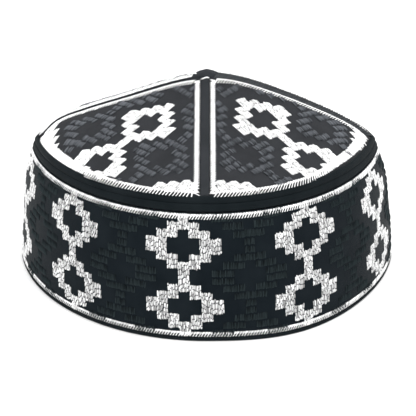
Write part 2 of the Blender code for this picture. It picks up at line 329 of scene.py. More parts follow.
def share_of_edge(x, y):
    """How far plan points lie from the middle, as a share of the way to the crown's edge.

    A ray from the middle meets the edge's ellipse arc where a quadratic is solved.
    """
    x = x / side_scale(x, 1.0)
    y = np.abs(y) / np.where(y > 0.0, back_scale(1.0), 1.0)
    radius = np.maximum(np.hypot(x, y), 1e-9)
    ray_x, ray_y = x / radius, y / radius
    width, depth = ARC_WIDTH - CROWN_EDGE_INSET, ARC_DEPTH - CROWN_EDGE_INSET
    square = (ray_x / width) ** 2 + (ray_y / depth) ** 2
    linear = 2.0 * ray_y * ARC_SET_BACK / depth**2
    constant = (ARC_SET_BACK / depth) ** 2 - 1.0
    return radius * 2.0 * square / (-linear + np.sqrt(linear * linear - 4.0 * square * constant))


def ridge_height(side, share):
    reach = [row.reach for row in RIDGES]
    return smooth_curve(reach, [getattr(row, side) * MM for row in RIDGES], share)


def crown_height(x, y):
    """Height of the crown's outer face over plan points."""
    behind = y > 0.0
    edge_x = half_width(CROWN_EDGE_INSET) * side_scale(x, 1.0)
    edge_y = (HALF_DEPTH - CROWN_EDGE_INSET) * np.where(behind, back_scale(1.0), 1.0)
    across, along = np.abs(x) / edge_x, np.abs(y) / edge_y
    oval = share_of_edge(x, y)
    blend = np.minimum(oval, 1.0) ** np.where(behind, BACK_ROUNDING, FRONT_ROUNDING)
    reach = (across + along) * (1.0 - blend) + oval * blend
    weight = across**2 / np.maximum(across**2 + along**2, 1e-12)
    weight = weight * weight * (3.0 - 2.0 * weight)

    def between_ridges(share):
        side = np.where(x < 0.0, ridge_height("left", share), ridge_height("right", share))
        middle = np.where(behind, ridge_height("back", share), ridge_height("front", share))
        return side * weight + middle * (1.0 - weight)

    rim = CROWN_EDGE_HEIGHT - rim_drop(behind, across / oval, along / oval, CROWN_EDGE_HEIGHT)
    return between_ridges(reach) + (rim - between_ridges(np.ones_like(oval))) * oval**EDGE_BLEND


def crown_skin(x, y, out=0.0):
    """Points on the crown's outer face, or standing out from it, square to the face."""
    x, y = np.broadcast_arrays(np.asarray(x, float), np.asarray(y, float))
    step = 0.4 * MM
    slope_x = (crown_height(x + step, y) - crown_height(x - step, y)) / (2.0 * step)
    slope_y = (crown_height(x, y + step) - crown_height(x, y - step)) / (2.0 * step)
    normal = np.stack([-slope_x, -slope_y, np.ones_like(x)], axis=-1)
    normal /= np.linalg.norm(normal, axis=-1, keepdims=True)
    ground = np.stack([x, y, crown_height(x, y)], axis=-1)
    return ground + normal * np.asarray(out, float)[..., None] * np.ones_like(ground)


# Making pieces.

MERGE_WITHIN = 0.02 * MM
CAP_MIDDLE = Vector((0.0, 0.0, 20.0 * MM))


def deselect_all():
    bpy.ops.object.select_all(action="DESELECT")


def make_active(piece):
    deselect_all()
    piece.select_set(True)
    bpy.context.view_layer.objects.active = piece


@contextmanager
def all_in_edit_mode(piece):
    make_active(piece)
    bpy.ops.object.mode_set(mode="EDIT")
    bpy.ops.mesh.select_all(action="SELECT")
    yield
    bpy.ops.object.mode_set(mode="OBJECT")


def merge_points(piece):
    with all_in_edit_mode(piece):
        bpy.ops.mesh.remove_doubles(threshold=MERGE_WITHIN)


def recalculate_normals(piece):
    with all_in_edit_mode(piece):
        bpy.ops.mesh.normals_make_consistent(inside=False)


def apply_modifiers(piece):
    make_active(piece)
    for modifier in list(piece.modifiers):
        bpy.ops.object.modifier_apply(modifier=modifier.name)


def finish_piece(piece, name, material, slot, nodes=()):
    piece.name = name
    piece.data.name = name
    piece.data.materials.clear()
    piece.data.materials.append(material)
    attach(piece, "root")
    if nodes:
        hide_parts(*nodes)
    return piece


def points_of(data):
    flat = np.empty(len(data.vertices) * 3)
    data.vertices.foreach_get("co", flat)
    return flat.reshape(-1, 3)


def move_points(data, points):
    data.vertices.foreach_set("co", points.astype(np.float32).ravel())
    data.update()


def points_of_loops(data):
    """The point that each corner of a face is on."""
    points = np.empty(len(data.loops), dtype=np.int64)
    data.loops.foreach_get("vertex_index", points)
    return points


def laid_cloth(columns, rows, shape, cloth):
    """A grid of cloth laid over a shape, over shares across and down it from 0 to 1.

    shape gives its points and cloth its flat coordinates in metres, for the weave.
    """
    deselect_all()
    bpy.ops.mesh.primitive_grid_add(x_subdivisions=columns, y_subdivisions=rows, size=2.0)
    piece = bpy.context.active_object
    data = piece.data
    across, down = (points_of(data)[:, :2].T + 1.0) / 2.0
    uv = data.uv_layers[0]
    uv.name = "cloth"
    flat = np.stack(cloth(across, down), axis=-1)[points_of_loops(data)]
    uv.data.foreach_set("uv", flat.astype(np.float32).ravel())
    move_points(data, shape(across, down))
    bpy.ops.object.shade_smooth()
    return piece


def thicken(piece, wall):
    solidify = piece.modifiers.new("wall", "SOLIDIFY")
    solidify.thickness = wall
    solidify.offset = -1.0
    solidify.use_even_offset = False
    apply_modifiers(piece)


def face_outwards(piece):
    """Turns an open sheet's faces away from the middle of the cap."""
    faces = piece.data.polygons
    face = faces[len(faces) // 2]
    if (face.center - CAP_MIDDLE).dot(face.normal) < 0.0:
        with all_in_edit_mode(piece):
            bpy.ops.mesh.flip_normals()


def stitches_mesh(name, place, half, height, side, tone, bury=STITCH_BURY):
    """One mesh of many threads, place(aside, out) giving points beside and over their middles.

    half, height and side hold each section's half width, its height and its sides' height. A section
    has four points: left side, crest, right side and base. Each thread has its own tile of the UV map.
    """
    tiles = 37.0
    margin = 0.01
    count, rows = height.shape
    base = np.full_like(height, -bury)
    ways = (-half, side), (0.0, height), (half, side), (0.0, base)
    points = np.stack([place(aside, out) for aside, out in ways], axis=2).reshape(-1, 3)
    ring = np.arange(4)
    quads = []
    for row in range(rows - 1):
        low, high = row * 4 + ring, (row + 1) * 4 + ring
        quads.append(np.stack([low, np.roll(low, -1), np.roll(high, -1), high], axis=-1))
    ends = np.array([ring[::-1], (rows - 1) * 4 + ring])
    pattern = np.concatenate([np.concatenate(quads), ends])
    faces = (pattern[None] + (np.arange(count) * rows * 4)[:, None, None]).reshape(-1, 4)
    mesh = bpy.data.meshes.new(name)
    mesh.from_pydata(points.tolist(), [], faces.tolist())
    piece = bpy.data.objects.new(name, mesh)
    bpy.context.scene.collection.objects.link(piece)
    shade = mesh.attributes.new("tone", "FLOAT", "POINT")
    shade.data.foreach_set("value", np.repeat(tone, rows * 4).astype(np.float32))
    uv = mesh.uv_layers.new(name="thread")
    along = np.repeat(np.arange(rows) / (rows - 1.0), 4)
    sideways = np.tile(np.array([0.0, 0.5, 1.0, 0.5]), rows)
    thread, local = np.divmod(points_of_loops(mesh), rows * 4)
    tile = np.floor((rng.random(count) * tiles)[thread])[:, None]
    values = np.stack([sideways[local], along[local]], axis=-1) * (1.0 - 2.0 * margin) + margin + tile
    uv.data.foreach_set("uv", values.astype(np.float32).ravel())
    mesh.shade_smooth()
    recalculate_normals(piece)
    return piece


# Where each stitch lies.


def ring_cells(centre_column, centre_row, filled):
    """Cells of one ring of the chain, as (column, row) with rows counted by their low side."""
    half = CHAIN_ROWS // 2
    cells = {(centre_column, centre_row + row) for row in (-half, half - 1)}
    for run in RING:
        low = -run.high if filled else run.low
        for column in {run.column, -run.column}:
            for start, stop in ((low, run.high), (-run.high, -low)):
                cells.update((centre_column + column, centre_row + row) for row in range(start, stop))
    return cells


def chain_runs(column, first_row, rows, filled=False):
    """Unbroken runs of cells along one chain, as [column, low row, high row]."""
    cells = set()
    for centre in range(first_row - 3 * CHAIN_ROWS, first_row + 4 * CHAIN_ROWS, CHAIN_ROWS):
        cells |= ring_cells(column, centre, filled)
    runs = []
    for place, row in sorted(cell for cell in cells if rows[0] <= cell[1] < rows[1]):
        if runs and runs[-1][0] == place and runs[-1][2] == row:
            runs[-1][2] = row + 1
        else:
            runs.append([place, row, row + 1])
    return runs


def fill_runs(runs, sewing, middle, drift):
    """Threads that fill runs of cells, as arrays of their column, low row and high row."""

    def length_within(shares):
        return sewing.length * (1.0 if sewing.aligned else rng.uniform(*shares))

    threads = []
    for column, low, high in runs:
        for slot in range(sewing.threads):
            offset = (slot + 0.5) / sewing.threads - 0.5
            low_cut = sewing.rounded * (max(offset + LOW_CORNER, 0.0) / (0.5 + LOW_CORNER)) ** 2
            high_cut = sewing.rounded * HIGH_CORNER * max(-offset, 0.0) ** 2
            start = low - sewing.past + low_cut + rng.normal(0.0, sewing.play)
            end = high + sewing.past - high_cut + rng.normal(0.0, sewing.play)
            length = length_within(FIRST_LENGTHS)
            while start < end:
                stop = start + length
                if end - stop < SHORT_LENGTH * sewing.length:
                    stop = end
                place = column + offset + rng.normal(0.0, THREAD_PLAY)
                threads.append((place, start + sewing.gap, stop - sewing.gap))
                start = stop
                length = length_within(LATER_LENGTHS)
    place, low, high = np.array(threads).T
    place = middle + (place - middle) * (1.0 + drift.widen) + drift.columns
    place += drift.lean * (low + high) / 2.0
    return place, low + drift.rows, high + drift.rows


def jitter(count, play):
    """Small chance differences around 0, one for each thread."""
    return rng.normal(0.0, play, count)[:, None]


def varied(count, least, more):
    """Shares by chance, one for each thread."""
    return least + more * rng.random(count)[:, None]


def columns_of(half):
    """Places, rises and widths of a thread's sections, from those of one half up to its middle."""
    whole = half + [section._replace(at=1.0 - section.at) for section in half[-2::-1]]
    return np.array(whole).T


def lay_stitches(name, skin, threads, sewing):
    """Lays threads along the rows of a chart, skin(column, row, out) giving points on the cloth."""
    column, low, high = (values[:, None] for values in threads)
    rows, arch, narrow = columns_of(STITCH)
    count = len(column)
    at = low + (high - low) * rows
    middle = column + jitter(count, THREAD_LEAN) * (rows - 0.5)
    height = sewing.rise * varied(count, *STITCH_RISES) * arch
    half = 0.5 * sewing.fill / sewing.threads * narrow * varied(count, *STITCH_WIDTHS)

    def place(aside, out):
        return skin(middle + aside, at, out)

    return stitches_mesh(name, place, half, height, height * STITCH_SIDE - STITCH_SINK, rng.random(count))


def band_turn(column):
    """Turn round the rim at a chart column. The columns are a little wider at the back."""
    turn = np.linspace(-0.75, 0.75, 3001)
    swell = BAND_CHART_SWELL / (2.0 * pi) * np.sin(2.0 * pi * turn)
    return np.interp(column, BAND_CHART_START + BAND_COLUMNS * (turn + swell), turn)


def wrap_turn(turn):
    return (turn + 0.5) % 1.0 - 0.5


def band_chart(column, row, out):
    """Points on the band at chart columns and rows. Rows count upwards from the middle."""
    height = np.clip(BAND_CHART_MIDDLE + row * BAND_ROW, HEM_HEIGHT + STITCH_CLEARANCE, BAND_HEIGHT)
    return band_skin(wrap_turn(band_turn(column)), height, out)


BAND_DRIFTS = {-12: Drift(lean=-0.09), 0: Drift(lean=-0.024), 12: Drift(-0.1, lean=0.025)}
LEFT_DRIFTS = {
    -12: Drift(0.3, 0.3),
    -6: Drift(0.3, 0.45),
    0: Drift(-0.36, 0.78, -0.05),
    6: Drift(-1.1, 0.9),
    12: Drift(-1.1, 0.55),
}
RIGHT_DRIFTS = {
    -12: Drift(-0.2),
    -6: Drift(0.1, -0.1),
    0: Drift(-0.15, 0.05, 0.05),
    6: Drift(-0.24, -0.05),
    12: Drift(-1.3, 0.1),
}

# The crown's panels. side is -1 at the left and 1 at the right, and half -1 in front and 1 behind. Then
# the chart's direction and scale, the drifts of its chains, and the border along the ridge: how far it
# is set in, how wide it is, how widely its outer corner turns and how far that corner is drawn in.
Panel = namedtuple("Panel", "name side half angle row_scale column_scale drifts inset ridge turn draw")
PANELS = [
    Panel("front_left", -1, -1, 45.7, 1.0, 1.0, LEFT_DRIFTS, 0.6 * MM, 3.1 * MM, 4.0 * MM, 0.5 * MM),
    Panel("front_right", 1, -1, 45.7, 1.0, 1.0, RIGHT_DRIFTS, 1.5 * MM, 3.2 * MM, 12.0 * MM, 2.3 * MM),
    Panel("back_left", -1, 1, 41.5, 0.91, 0.95, {}, 0.6 * MM, 4.0 * MM, 6.0 * MM, 1.0 * MM),
    Panel("back_right", 1, 1, 41.5, 0.91, 0.95, {}, 0.4 * MM, 3.1 * MM, 10.0 * MM, 1.0 * MM),
]


def walk_table(start_x, start_y, dir_x, dir_y, reach):
    """Plan reach against distance walked over the crown, along straight lines from start points."""
    step = np.linspace(0.0, reach, 121)
    x = start_x[..., None] + dir_x * step
    y = start_y[..., None] + dir_y * step
    z = crown_height(x, y)
    pieces = np.sqrt(np.diff(z, axis=-1) ** 2 + np.diff(step) ** 2)
    walked = np.concatenate([np.zeros(pieces.shape[:-1] + (1,)), np.cumsum(pieces, axis=-1)], axis=-1)
    return step, walked


def panel_chart(panel):
    """A function from chart columns and rows to plan points on one crown panel."""
    angle = radians(panel.angle)
    ahead = (panel.side * cos(angle), panel.half * sin(angle))
    right = (panel.side * sin(angle), -panel.half * cos(angle))
    grid_rows = np.arange(-PANEL_PEAK_ROWS, GRID_ROWS, GRID_STEP)
    grid_columns = np.arange(-GRID_COLUMNS, GRID_COLUMNS + GRID_STEP / 2.0, GRID_STEP)
    step, walked = walk_table(np.array(0.0), np.array(panel.half * 1e-7), *ahead, REACH_AHEAD)
    distance = (grid_rows + PANEL_PEAK_ROWS) * PANEL_ROW * panel.row_scale
    out = np.interp(distance, walked, step)
    start_x, start_y = ahead[0] * out, ahead[1] * out
    table = np.zeros((len(grid_rows), len(grid_columns)))
    for sign in (-1, 1):
        step, walked = walk_table(start_x, start_y, sign * right[0], sign * right[1], REACH_ASIDE)
        use = grid_columns * sign > 0.0
        wanted = np.abs(grid_columns[use]) * PANEL_COLUMN * panel.column_scale
        for i in range(len(grid_rows)):
            table[i, use] = sign * np.interp(wanted, walked[i], step)

    def place(column, row):
        down = (row - grid_rows[0]) / GRID_STEP
        aside = (column - grid_columns[0]) / GRID_STEP
        i = np.clip(down.astype(int), 0, len(grid_rows) - 2)
        j = np.clip(aside.astype(int), 0, len(grid_columns) - 2)
        down, aside = down - i, aside - j
        shift = (
            table[i, j] * (1 - down) * (1 - aside)
            + table[i + 1, j] * down * (1 - aside)
            + table[i, j + 1] * (1 - down) * aside
            + table[i + 1, j + 1] * down * aside
        )
        ahead_by = np.interp(row, grid_rows, out)
        return ahead[0] * ahead_by + right[0] * shift, ahead[1] * ahead_by + right[1] * shift

    return place


def seam_at(axis, side):
    return next(seam for seam in SEAMS if seam.axis == axis and seam.side == side)


def panel_sides(panel):
    """Distance of the panel's two straight sides from the plan's axes."""
    middle, flank = seam_at("y", panel.half), seam_at("x", panel.side)
    return (
        panel.side * middle.shift + middle.width / 2.0 + GAP,
        panel.half * flank.shift + flank.width / 2.0 + GAP,
    )


def inside_panel(panel, x, y, margin):
    """Whether plan points lie inside a panel by a margin, which is wider along the ridge."""
    side_x, side_y = panel_sides(panel)
    radius = np.hypot(x, y)
    rim_room = radius / share_of_edge(x, y) - radius
    ridge_room = panel.half * y - side_y - panel.inset
    return (panel.side * x > side_x + margin) & (ridge_room > margin) & (rim_room > margin)


def edge_plan(side, way):
    """Plan points on the crown's edge; way runs from 0 at the front, by 1 at the side, to 2 behind."""
    behind = way > 1.0
    theta = np.where(behind, 2.0 - way, way) * crease_angle(CROWN_EDGE_INSET)
    x = side * (ARC_WIDTH - CROWN_EDGE_INSET) * np.sin(theta)
    y = np.maximum((ARC_DEPTH - CROWN_EDGE_INSET) * np.cos(theta) - ARC_SET_BACK, 0.0)
    return x * side_scale(x, 1.0), np.where(behind, y * back_scale(1.0), -y)


def edge_stretch(panel, count):
    """Points on the crown's edge between a panel's two sides, as distances from the plan's axes."""
    side_x, side_y = panel_sides(panel)
    x, y = edge_plan(panel.side, np.linspace(0.0, 2.0, 2001))
    x, y = panel.side * x, panel.half * y
    keep = (x > side_x) & (y > side_y)
    x, y = x[keep], y[keep]
    if panel.half > 0:
        x, y = x[::-1], y[::-1]
    share = np.linspace(0.0, 1.0, len(x))
    at = np.linspace(0.0, 1.0, count)
    return np.interp(at, share, x), np.interp(at, share, y)


# Materials.

SHEEN_ROUGHNESS = 0.3

# The colour sockets of a mix node, which share their names with its other sockets.
MIX_DARK, MIX_LIGHT, MIX_OUT = 6, 7, 2


def effect_group(name, inputs):
    """A node group with named inputs, which puts out a colour and a height."""
    group = bpy.data.node_groups.new(name, "ShaderNodeTree")
    for label, value in inputs.items():
        kind = "NodeSocketFloat" if isinstance(value, float) else "NodeSocketColor"
        socket = group.interface.new_socket(label, in_out="INPUT", socket_type=kind)
        socket.default_value = value
    group.interface.new_socket("Colour", in_out="OUTPUT", socket_type="NodeSocketColor")
    group.interface.new_socket("Height", in_out="OUTPUT", socket_type="NodeSocketFloat")
    return group, group.nodes.new("NodeGroupInput").outputs


def math_maker(group):
    """A function that adds a math node to a group and gives its output."""

    def math(operation, first, second=None):
        node = group.nodes.new("ShaderNodeMath")
        node.operation = operation
        for socket, value in zip(node.inputs, (first, second)):
            if isinstance(value, float):
                socket.default_value = value
            elif value is not None:
                group.links.new(value, socket)
        return node.outputs[0]

    return math


def uv_outputs(group, name):
    """A UV map, and its two coordinates."""
    uv = group.nodes.new("ShaderNodeUVMap")
    uv.uv_map = name
    split = group.nodes.new("ShaderNodeSeparateXYZ")
    group.links.new(uv.outputs["UV"], split.inputs["Vector"])
    return uv.outputs["UV"], split.outputs["X"], split.outputs["Y"]


def noise(group, place, scale, detail):
    node = group.nodes.new("ShaderNodeTexNoise")
    node.inputs["Detail"].default_value = detail
    group.links.new(place, node.inputs["Vector"])
    group.links.new(scale, node.inputs["Scale"])
    return node.outputs["Fac"]


def put_out(group, given, factor, height):
    """Puts out a colour between the group's dark and light inputs, and a height."""
    mix = group.nodes.new("ShaderNodeMix")
    mix.data_type = "RGBA"
    mix.clamp_factor = True
    end = group.nodes.new("NodeGroupOutput")
    group.links.new(factor, mix.inputs["Factor"])
    group.links.new(given["Dark"], mix.inputs[MIX_DARK])
    group.links.new(given["Light"], mix.inputs[MIX_LIGHT])
    group.links.new(mix.outputs[MIX_OUT], end.inputs["Colour"])
    group.links.new(height, end.inputs["Height"])
    return group


def weave_group():
    """A fine plain weave in the cloth's own coordinates, with broad mottling."""
    group, given = effect_group(
        "woven ground",
        {
            "Threads per metre": 2400.0,
            "Mottle per metre": 90.0,
            "Dark": (0.01, 0.01, 0.01, 1.0),
            "Light": (0.03, 0.03, 0.03, 1.0),
        },
    )
    weave_contrast, mottle_contrast, darker = 0.6, 1.1, 0.45
    math = math_maker(group)
    waves = []
    for coordinate in uv_outputs(group, "cloth")[1:]:
        count = math("MULTIPLY", coordinate, given["Threads per metre"])
        waves.append(math("SINE", math("MULTIPLY", count, pi)))
    warp, weft = (math("ABSOLUTE", wave) for wave in waves)
    warp_over = math("GREATER_THAN", math("MULTIPLY", *waves), 0.0)
    chosen = math("MULTIPLY", warp_over, math("SUBTRACT", warp, weft))
    height = math("ADD", chosen, weft)
    place = group.nodes.new("ShaderNodeTexCoord")
    broad = noise(group, place.outputs["Object"], given["Mottle per metre"], 5.0)
    woven = math("MULTIPLY", height, weave_contrast)
    mottled = math("MULTIPLY", broad, mottle_contrast)
    factor = math("SUBTRACT", math("ADD", woven, mottled), darker)
    return put_out(group, given, factor, height)


def thread_group():
    """Colour and fibres of one thread, from its tone and its own UV map.

    The low end has a painted highlight, and painted shade darkens the colour towards the groove on both
    sides and at the ends.
    """
    group, given = effect_group(
        "thread",
        {
            "Fibres": 5.0,
            "Lit end": 0.0,
            "Painted groove shade": 0.3,
            "Uneven": 0.9,
            "Dark": (0.5, 0.5, 0.5, 1.0),
            "Light": (0.8, 0.8, 0.8, 1.0),
        },
    )
    fibre_stretch, fibre_contrast, brighter = 0.12, 0.9, 0.45
    lit_falloff, end_falloff = 3.0, 4.0
    math = math_maker(group)

    def from_middle(share):
        return math("MULTIPLY", math("ABSOLUTE", math("SUBTRACT", share, 0.5)), 2.0)

    tone = group.nodes.new("ShaderNodeAttribute")
    tone.attribute_name = "tone"
    uv, x, y = uv_outputs(group, "thread")
    stretch = group.nodes.new("ShaderNodeMapping")
    stretch.inputs["Scale"].default_value = (1.0, fibre_stretch, 1.0)
    group.links.new(uv, stretch.inputs["Vector"])
    fibres = noise(group, stretch.outputs["Vector"], given["Fibres"], 2.0)
    uneven = math("MULTIPLY", math("SUBTRACT", tone.outputs["Fac"], 0.5), given["Uneven"])
    plain = math("ADD", math("ADD", uneven, brighter), math("MULTIPLY", fibres, fibre_contrast))
    across, along = math("FRACT", x), math("FRACT", y)
    near_end = math("POWER", math("SUBTRACT", 1.0, along), lit_falloff)
    lit = math("MULTIPLY", near_end, given["Lit end"])
    edge = math("ADD", from_middle(across), math("POWER", from_middle(along), end_falloff))
    groove_shade = math("MULTIPLY", edge, given["Painted groove shade"])
    total = math("SUBTRACT", math("ADD", plain, lit), groove_shade)
    return put_out(group, given, total, fibres)


WOVEN = weave_group()
THREAD = thread_group()


def cloth_material(name, effect, dark, light, roughness, sheen, shine, bump, depth, values=None):
    """A cloth's or a thread's finish, from an effect whose other inputs may be given as values."""
    material = bpy.data.materials.new(name)
    material.use_nodes = True
    nodes, links = material.node_tree.nodes, material.node_tree.links
    shader = nodes["Principled BSDF"]
    surface = nodes.new("ShaderNodeGroup")
    surface.node_tree = effect
    raised = nodes.new("ShaderNodeBump")
    for node, label, value in (
        (shader, "Roughness", roughness),
        (shader, "Specular IOR Level", shine),
        (shader, "Sheen Weight", sheen),
        (shader, "Sheen Roughness", SHEEN_ROUGHNESS),
        (surface, "Dark", (*dark, 1.0)),
        (surface, "Light", (*light, 1.0)),
        (raised, "Strength", bump),
        (raised, "Distance", depth),
    ):
        node.inputs[label].default_value = value
    for label, value in (values or {}).items():
        surface.inputs[label].default_value = value
    links.new(surface.outputs["Colour"], shader.inputs["Base Color"])
    links.new(surface.outputs["Height"], raised.inputs["Height"])
    links.new(raised.outputs["Normal"], shader.inputs["Normal"])
    return material


def grey(value, blue=0.0):
    return value, value * (1.0 + 0.5 * blue), value * (1.0 + blue)


BAND_GROUND = cloth_material(
    "black band cloth", WOVEN, (0.002, 0.0045, 0.007), (0.01, 0.0145, 0.018),
    roughness=0.8, sheen=0.08, shine=0.06, bump=0.4, depth=0.12 * MM,
)
# The crown's cloth is the band's black cloth painted lighter: painted light standing in for the stronger
# light from above.
CROWN_GROUND_PAINTED_LIT = cloth_material(
    "black crown cloth", WOVEN, (0.0135, 0.0145, 0.0165), (0.029, 0.031, 0.035),
    roughness=0.85, sheen=0.04, shine=0.12, bump=0.4, depth=0.12 * MM,
)
STRIP_CLOTH = cloth_material(
    "plain strip cloth", WOVEN, (0.014, 0.016, 0.018), (0.032, 0.035, 0.04),
    roughness=0.85, sheen=0.04, shine=0.1, bump=0.5, depth=0.15 * MM,
)
ROLL_CLOTH = cloth_material(
    "rolled black cloth", WOVEN, (0.002, 0.0045, 0.006), (0.01, 0.014, 0.0165),
    roughness=0.7, sheen=0.0, shine=0.07, bump=0.4, depth=0.12 * MM,
)
# On every thread below, the Groove value paints shade on the sides and ends of each thread, between the
# threads, and Lit end paints a highlight on its low end.
WHITE_THREAD = cloth_material(
    "white thread", THREAD, grey(0.04), grey(0.97),
    roughness=0.45, sheen=0.1, shine=0.5, bump=0.5, depth=0.1 * MM,
)
# The crown's white thread is the band's white thread painted lighter, as painted light from above.
PAINTED_LIT_WHITE_THREAD = cloth_material(
    "white crown thread", THREAD, grey(0.13), grey(0.95),
    roughness=0.45, sheen=0.1, shine=0.5, bump=0.4, depth=0.1 * MM,
    values={"Painted groove shade": 0.2, "Uneven": 0.6},
)
# The band's black thread has a painted highlight on the low end of each stitch and painted shade in its
# grooves.
BLACK_BAND_THREAD = cloth_material(
    "black band thread", THREAD, (0.001, 0.002, 0.003), (0.021, 0.03, 0.033),
    roughness=0.6, sheen=0.0, shine=0.06, bump=0.4, depth=0.1 * MM,
    values={"Lit end": 1.5, "Painted groove shade": 0.9, "Uneven": 0.7},
)
# The crown's black thread is the band's black thread painted much lighter, with a painted sheen on the
# crest of each thread and painted shade in the grooves between them.
BLACK_THREAD_PAINTED_SHEEN = cloth_material(
    "black crown thread", THREAD, (0.0, 0.001, 0.002), (0.14, 0.15, 0.166),
    roughness=0.6, sheen=0.0, shine=0.08, bump=0.5, depth=0.12 * MM,
    values={"Lit end": 0.3, "Painted groove shade": 0.95, "Uneven": 0.6},
)
STRIP_THREAD = cloth_material(
    "black strip thread", THREAD, grey(0.01, blue=0.3), grey(0.045, blue=0.25),
    roughness=0.5, sheen=0.05, shine=0.25, bump=0.4, depth=0.1 * MM,
)


# The pieces.


def make_band():
    def level(up):
        return BAND_FOOT + up * (BAND_HEIGHT - BAND_FOOT)

    piece = laid_cloth(
        columns=480,
        rows=28,
        shape=lambda around, up: band_skin(around - 0.5, level(up)),
        cloth=lambda around, up: (around * HEM_ROUND, level(up)),
    )
    merge_points(piece)
    recalculate_normals(piece)
    face_outwards(piece)
    thicken(piece, BAND_WALL)
    return finish_piece(piece, "band_cloth", BAND_GROUND, "band_cloth", ["band"])


# Sections of the three rings, each a closed smooth curve of ribs as height and inset in millimetres,
# and the length of cloth round a section.
BAND_ROLL = [
    Rib(59.4, 11.2), Rib(59.4, 9.3), Rib(59.7, 8.7), Rib(60.6, 8.75),
    Rib(61.7, 9.05), Rib(62.6, 9.45), Rib(63.1, 10.1), Rib(63.1, 11.2),
]
CROWN_ROLL = [
    Rib(63.0, 11.6), Rib(62.9, 10.3), Rib(63.2, 9.75), Rib(64.1, 9.75),
    Rib(65.2, 10.15), Rib(66.0, 10.7), Rib(66.2, 11.3), Rib(65.8, 11.7),
]
HEM_ROLL = [
    Rib(0.0, 1.3), Rib(0.1, 0.4), Rib(0.5, -0.05), Rib(1.2, -0.1), Rib(1.75, 0.2),
    Rib(1.85, 1.3), Rib(1.75, 2.5), Rib(1.2, 2.8), Rib(0.5, 2.75), Rib(0.1, 2.3),
]
ROLL_AROUND = 10.0 * MM


def make_ring(name, section, node):
    """A rolled edge of one section all round the cap."""
    loop = section[-2:] + section + section[:2]
    knots = np.arange(-2.0, len(section) + 2.0)
    insets = [rib.inset * MM for rib in loop]
    heights = [rib.height * MM for rib in loop]

    def shape(around, up):
        at = up * len(section)
        inset, height = (smooth_curve(knots, values, at) for values in (insets, heights))
        return rim_place(around - 0.5, inset, np.maximum(height, 0.0))

    piece = laid_cloth(
        columns=360,
        rows=5 * len(section),
        shape=shape,
        cloth=lambda around, up: (around * HEM_ROUND, up * ROLL_AROUND),
    )
    merge_points(piece)
    recalculate_normals(piece)
    return finish_piece(piece, name, ROLL_CLOTH, "binding", [node])


def make_panel_cloth(panel):
    side_x, side_y = panel_sides(panel)
    edge_x, edge_y = edge_stretch(panel, 400)
    share = np.linspace(0.0, 1.0, 400)

    def plan(across, down):
        x, y = np.interp(across, share, edge_x), np.interp(across, share, edge_y)
        return panel.side * (side_x + (x - side_x) * down), panel.half * (side_y + (y - side_y) * down)

    piece = laid_cloth(
        columns=76, rows=72, shape=lambda across, down: crown_skin(*plan(across, down)), cloth=plan
    )
    merge_points(piece)
    face_outwards(piece)
    thicken(piece, CROWN_WALL)
    return finish_piece(
        piece, f"panel_cloth_{panel.name}", CROWN_GROUND_PAINTED_LIT, "crown_cloth", [f"crown_panel_{panel.name}"]
    )


def strip_reach(seam, offset):
    """How far a strip runs along its seam before it meets the crown's edge."""
    if seam.axis == "y":
        start, stop = (0.0, 0.3) if seam.side < 0 else (2.0, 1.7)
        x, y = edge_plan(1.0, np.linspace(start, stop, 200))
        return np.interp(np.abs(offset), x, np.abs(y))
    x, y = edge_plan(seam.side, np.linspace(0.7, 1.3, 400))
    return np.interp(offset, y, np.abs(x))


def make_strip_cloth(seam):
    def plan(across, down):
        offset = seam.shift + seam.width * (across - 0.5)
        reach = STRIP_START + (strip_reach(seam, offset) - STRIP_END - STRIP_START) * down
        return (offset, seam.side * reach) if seam.axis == "y" else (seam.side * reach, offset)

    def shape(across, down):
        dome = 1.0 - (2.0 * across - 1.0) ** 2
        return crown_skin(*plan(across, down), STRIP_DOME * dome - STRIP_SINK)

    piece = laid_cloth(
        columns=9,
        rows=90,
        shape=shape,
        cloth=lambda across, down: (across * seam.width, down * STRIP_LENGTH),
    )
    face_outwards(piece)
    thicken(piece, STRIP_WALL)
    return finish_piece(piece, f"{seam.name}_cloth", STRIP_CLOTH, "strip_cloth", [seam.name])


# The knot: half its size in plan and how far forward it sits, how high it stands over the peak, how
# steeply and how bluntly it falls, its least thickness, its foot and sink into the crown, and the
# length of cloth round it.
KNOT_HALF_WIDTH = 5.6 * MM
KNOT_HALF_DEPTH = 4.4 * MM
KNOT_FORWARD = 0.6 * MM
KNOT_RISE = 0.8 * MM
KNOT_SLOPE = 0.33
KNOT_BLUNT = 2.4 * MM
KNOT_THINNEST = 0.5 * MM
KNOT_FOOT = 1.0 * MM
KNOT_SINK = 0.1 * MM
KNOT_AROUND = 12.0 * MM


